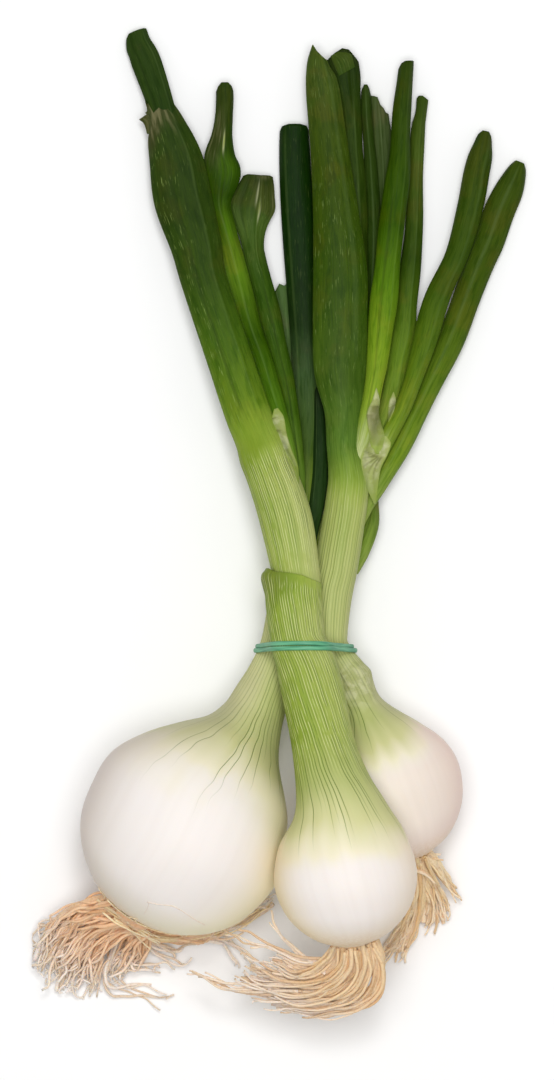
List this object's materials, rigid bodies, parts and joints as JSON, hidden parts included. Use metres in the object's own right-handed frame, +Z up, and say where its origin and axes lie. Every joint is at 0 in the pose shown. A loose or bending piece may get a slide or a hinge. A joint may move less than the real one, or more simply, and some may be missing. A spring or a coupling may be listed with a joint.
{
  "type": "spring onion bunch",
  "caption": "Bunch of fresh onions with white bulbs, green leaves and root tufts, lying down, tied by a green rubber band.",
  "frame": {"origin": "on the surface that the bunch lies on, under the middle of its bounding box", "axes": "+Y along the bunch from the bulbs to the leaf tips, +Z up from the surface, +X to the side of the smaller bulb"},
  "size_m": [0.1901, 0.3826, 0.0917],
  "materials": {
    "onion_skin": "satin",
    "leaf": "satin",
    "roots": "matte",
    "rubber_band": "satin"
  },
  "bodies": {
    "root": {"front_onion": "onion_skin", "left_onion": "onion_skin", "right_onion": "onion_skin", "front_leaf_inner": "leaf", "front_leaf_second": "leaf", "front_leaf_third": "leaf", "right_leaf_bright": "leaf", "right_leaf_long": "leaf", "right_leaf_outer": "leaf", "right_leaf_narrow": "leaf", "right_leaf_second": "leaf", "right_leaf_third": "leaf", "right_leaf_grey": "leaf", "left_leaf_blade": "leaf", "left_leaf_grey": "leaf", "left_leaf_stub": "leaf", "rubber_band": "rubber_band", "front_roots": "roots", "left_roots": "roots", "right_roots": "roots"}
  },
  "joints": []
}
